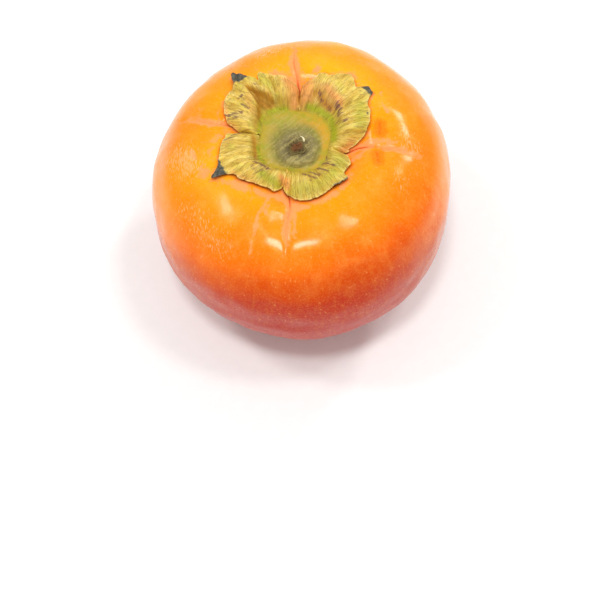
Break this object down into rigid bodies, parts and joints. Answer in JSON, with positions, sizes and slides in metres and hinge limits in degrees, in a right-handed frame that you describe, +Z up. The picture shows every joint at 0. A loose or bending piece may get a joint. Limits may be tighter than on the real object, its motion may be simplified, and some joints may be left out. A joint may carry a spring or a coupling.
{
  "type": "persimmon",
  "caption": "Whole squat persimmon with a leafy calyx and broken stem on top, a table fruit that rests on its small flat blossom end.",
  "frame": {"origin": "on the surface that the fruit stands on, under the middle of the fruit's outline", "axes": "+Z up along the fruit's core from the blossom end to the stem, -Y towards the front with the shortest sepal on the right, +X to the right"},
  "size_m": [0.0782, 0.0806, 0.0585],
  "materials": {
    "skin": "smooth waxy fruit skin, yellow-orange on the shoulders and red-orange below, with a thin pale bloom",
    "calyx_disc": "matt fleshy plate, yellow-green, with a felted grey-green crown",
    "sepals": "half dry leaf, straw yellow with brown veins and streaks and dark dry tips",
    "stem": "rough broken end grain, brown",
    "dry_style": "dried and shrivelled, near black"
  },
  "bodies": {
    "root": {"fruit": "skin", "calyx_disc": "calyx_disc", "sepal_back_right": "sepals", "sepal_back_left": "sepals", "sepal_front_left": "sepals", "sepal_front_right": "sepals", "stem_stub": "stem", "style_tip": "dry_style"}
  },
  "joints": []
}
